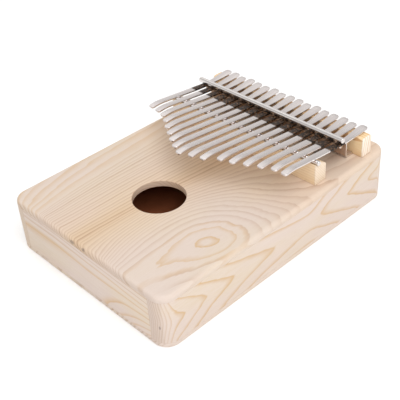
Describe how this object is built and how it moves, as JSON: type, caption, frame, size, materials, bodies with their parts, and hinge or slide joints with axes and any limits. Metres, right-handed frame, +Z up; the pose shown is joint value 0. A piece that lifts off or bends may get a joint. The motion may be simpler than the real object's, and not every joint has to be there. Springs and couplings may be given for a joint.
{
  "type": "box mbira",
  "caption": "Box thumb piano: plucked steel tines clamped over a front bridge on a hollow pine sound box with a round sound hole.",
  "frame": {"origin": "middle of the underside of the sound box", "axes": "+X runs across the tines to the right, +Y runs from the playing end to the tails, +Z is up"},
  "size_m": [0.1324, 0.185, 0.0573],
  "materials": {
    "pine": "bare sanded pine",
    "bridge_wood": "bare sanded hardwood",
    "brace_wood": "sawn hardwood, unfinished",
    "bright_steel": "bright plated steel",
    "spring_steel": "polished spring steel with faint lengthwise grain",
    "zinc": "zinc plated"
  },
  "bodies": {
    "sound_box": {"top_plate": "pine", "back_plate": "pine", "side_rail_left": "pine", "side_rail_right": "pine", "end_block_front": "pine", "end_block_rear": "pine", "inner_brace": "brace_wood", "front_bridge": "bridge_wood", "front_rod": "bright_steel", "rear_bridge": "bridge_wood", "bracket": "bright_steel", "pressure_rod": "bright_steel", "clamp_screw_1": "zinc", "clamp_screw_2": "zinc", "clamp_screw_3": "zinc", "clamp_screw_4": "zinc", "bracket_screw_1": "zinc", "bracket_screw_2": "zinc", "bracket_screw_3": "zinc"},
    "shank_01": {"tine_01_shank": "spring_steel"},
    "blade_01": {"tine_01_blade": "spring_steel"},
    "shank_02": {"tine_02_shank": "spring_steel"},
    "blade_02": {"tine_02_blade": "spring_steel"},
    "shank_03": {"tine_03_shank": "spring_steel"},
    "blade_03": {"tine_03_blade": "spring_steel"},
    "shank_04": {"tine_04_shank": "spring_steel"},
    "blade_04": {"tine_04_blade": "spring_steel"},
    "shank_05": {"tine_05_shank": "spring_steel"},
    "blade_05": {"tine_05_blade": "spring_steel"},
    "shank_06": {"tine_06_shank": "spring_steel"},
    "blade_06": {"tine_06_blade": "spring_steel"},
    "shank_07": {"tine_07_shank": "spring_steel"},
    "blade_07": {"tine_07_blade": "spring_steel"},
    "shank_08": {"tine_08_shank": "spring_steel"},
    "blade_08": {"tine_08_blade": "spring_steel"},
    "shank_09": {"tine_09_shank": "spring_steel"},
    "blade_09": {"tine_09_blade": "spring_steel"},
    "shank_10": {"tine_10_shank": "spring_steel"},
    "blade_10": {"tine_10_blade": "spring_steel"},
    "shank_11": {"tine_11_shank": "spring_steel"},
    "blade_11": {"tine_11_blade": "spring_steel"},
    "shank_12": {"tine_12_shank": "spring_steel"},
    "blade_12": {"tine_12_blade": "spring_steel"},
    "shank_13": {"tine_13_shank": "spring_steel"},
    "blade_13": {"tine_13_blade": "spring_steel"},
    "shank_14": {"tine_14_shank": "spring_steel"},
    "blade_14": {"tine_14_blade": "spring_steel"},
    "shank_15": {"tine_15_shank": "spring_steel"},
    "blade_15": {"tine_15_blade": "spring_steel"},
    "shank_16": {"tine_16_shank": "spring_steel"},
    "blade_16": {"tine_16_blade": "spring_steel"},
    "shank_17": {"tine_17_shank": "spring_steel"},
    "blade_17": {"tine_17_blade": "spring_steel"}
  },
  "joints": [
    {"name": "tine_01_flex", "type": "hinge", "parent": "shank_01", "child": "blade_01", "pos_m": [-0.056, 0.034, 0.05155], "axis": [1, 0, 0], "range_deg": [-3, 5], "stiffness_Nm_per_rad": 11.92},
    {"name": "tine_02_flex", "type": "hinge", "parent": "shank_02", "child": "blade_02", "pos_m": [-0.049, 0.034, 0.05155], "axis": [1, 0, 0], "range_deg": [-3, 5], "stiffness_Nm_per_rad": 11.45},
    {"name": "tine_03_flex", "type": "hinge", "parent": "shank_03", "child": "blade_03", "pos_m": [-0.042, 0.034, 0.05155], "axis": [1, 0, 0], "range_deg": [-3, 5], "stiffness_Nm_per_rad": 10.6},
    {"name": "tine_04_flex", "type": "hinge", "parent": "shank_04", "child": "blade_04", "pos_m": [-0.035, 0.034, 0.05155], "axis": [1, 0, 0], "range_deg": [-3, 5], "stiffness_Nm_per_rad": 9.23},
    {"name": "tine_05_flex", "type": "hinge", "parent": "shank_05", "child": "blade_05", "pos_m": [-0.028, 0.034, 0.05155], "axis": [1, 0, 0], "range_deg": [-3, 5], "stiffness_Nm_per_rad": 7.95},
    {"name": "tine_06_flex", "type": "hinge", "parent": "shank_06", "child": "blade_06", "pos_m": [-0.021, 0.034, 0.05155], "axis": [1, 0, 0], "range_deg": [-3, 5], "stiffness_Nm_per_rad": 7.07},
    {"name": "tine_07_flex", "type": "hinge", "parent": "shank_07", "child": "blade_07", "pos_m": [-0.014, 0.034, 0.05155], "axis": [1, 0, 0], "range_deg": [-3, 5], "stiffness_Nm_per_rad": 6.36},
    {"name": "tine_08_flex", "type": "hinge", "parent": "shank_08", "child": "blade_08", "pos_m": [-0.007, 0.034, 0.05155], "axis": [1, 0, 0], "range_deg": [-3, 5], "stiffness_Nm_per_rad": 5.84},
    {"name": "tine_09_flex", "type": "hinge", "parent": "shank_09", "child": "blade_09", "pos_m": [0, 0.034, 0.05155], "axis": [1, 0, 0], "range_deg": [-3, 5], "stiffness_Nm_per_rad": 5.45},
    {"name": "tine_10_flex", "type": "hinge", "parent": "shank_10", "child": "blade_10", "pos_m": [0.007, 0.034, 0.05155], "axis": [1, 0, 0], "range_deg": [-3, 5], "stiffness_Nm_per_rad": 5.78},
    {"name": "tine_11_flex", "type": "hinge", "parent": "shank_11", "child": "blade_11", "pos_m": [0.014, 0.034, 0.05155], "axis": [1, 0, 0], "range_deg": [-3, 5], "stiffness_Nm_per_rad": 6.09},
    {"name": "tine_12_flex", "type": "hinge", "parent": "shank_12", "child": "blade_12", "pos_m": [0.021, 0.034, 0.05155], "axis": [1, 0, 0], "range_deg": [-3, 5], "stiffness_Nm_per_rad": 7.07},
    {"name": "tine_13_flex", "type": "hinge", "parent": "shank_13", "child": "blade_13", "pos_m": [0.028, 0.034, 0.05155], "axis": [1, 0, 0], "range_deg": [-3, 5], "stiffness_Nm_per_rad": 7.53},
    {"name": "tine_14_flex", "type": "hinge", "parent": "shank_14", "child": "blade_14", "pos_m": [0.035, 0.034, 0.05155], "axis": [1, 0, 0], "range_deg": [-3, 5], "stiffness_Nm_per_rad": 8.42},
    {"name": "tine_15_flex", "type": "hinge", "parent": "shank_15", "child": "blade_15", "pos_m": [0.042, 0.034, 0.05155], "axis": [1, 0, 0], "range_deg": [-3, 5], "stiffness_Nm_per_rad": 9.54},
    {"name": "tine_16_flex", "type": "hinge", "parent": "shank_16", "child": "blade_16", "pos_m": [0.049, 0.034, 0.05155], "axis": [1, 0, 0], "range_deg": [-3, 5], "stiffness_Nm_per_rad": 10.8},
    {"name": "tine_17_flex", "type": "hinge", "parent": "shank_17", "child": "blade_17", "pos_m": [0.056, 0.034, 0.05155], "axis": [1, 0, 0], "range_deg": [-3, 5], "stiffness_Nm_per_rad": 11.01},
    {"name": "tine_01_tuning", "type": "slide", "parent": "sound_box", "child": "shank_01", "axis": [0, 1, 0], "range_m": [-0.001, 0.001]},
    {"name": "tine_02_tuning", "type": "slide", "parent": "sound_box", "child": "shank_02", "axis": [0, 1, 0], "range_m": [-0.001, 0.001]},
    {"name": "tine_03_tuning", "type": "slide", "parent": "sound_box", "child": "shank_03", "axis": [0, 1, 0], "range_m": [-0.001, 0.001]},
    {"name": "tine_04_tuning", "type": "slide", "parent": "sound_box", "child": "shank_04", "axis": [0, 1, 0], "range_m": [-0.001, 0.001]},
    {"name": "tine_05_tuning", "type": "slide", "parent": "sound_box", "child": "shank_05", "axis": [0, 1, 0], "range_m": [-0.001, 0.001]},
    {"name": "tine_06_tuning", "type": "slide", "parent": "sound_box", "child": "shank_06", "axis": [0, 1, 0], "range_m": [-0.001, 0.001]},
    {"name": "tine_07_tuning", "type": "slide", "parent": "sound_box", "child": "shank_07", "axis": [0, 1, 0], "range_m": [-0.001, 0.001]},
    {"name": "tine_08_tuning", "type": "slide", "parent": "sound_box", "child": "shank_08", "axis": [0, 1, 0], "range_m": [-0.001, 0.001]},
    {"name": "tine_09_tuning", "type": "slide", "parent": "sound_box", "child": "shank_09", "axis": [0, 1, 0], "range_m": [-0.001, 0.001]},
    {"name": "tine_10_tuning", "type": "slide", "parent": "sound_box", "child": "shank_10", "axis": [0, 1, 0], "range_m": [-0.001, 0.001]},
    {"name": "tine_11_tuning", "type": "slide", "parent": "sound_box", "child": "shank_11", "axis": [0, 1, 0], "range_m": [-0.001, 0.001]},
    {"name": "tine_12_tuning", "type": "slide", "parent": "sound_box", "child": "shank_12", "axis": [0, 1, 0], "range_m": [-0.001, 0.001]},
    {"name": "tine_13_tuning", "type": "slide", "parent": "sound_box", "child": "shank_13", "axis": [0, 1, 0], "range_m": [-0.001, 0.001]},
    {"name": "tine_14_tuning", "type": "slide", "parent": "sound_box", "child": "shank_14", "axis": [0, 1, 0], "range_m": [-0.001, 0.001]},
    {"name": "tine_15_tuning", "type": "slide", "parent": "sound_box", "child": "shank_15", "axis": [0, 1, 0], "range_m": [-0.001, 0.001]},
    {"name": "tine_16_tuning", "type": "slide", "parent": "sound_box", "child": "shank_16", "axis": [0, 1, 0], "range_m": [-0.001, 0.001]},
    {"name": "tine_17_tuning", "type": "slide", "parent": "sound_box", "child": "shank_17", "axis": [0, 1, 0], "range_m": [-0.001, 0.001]}
  ]
}
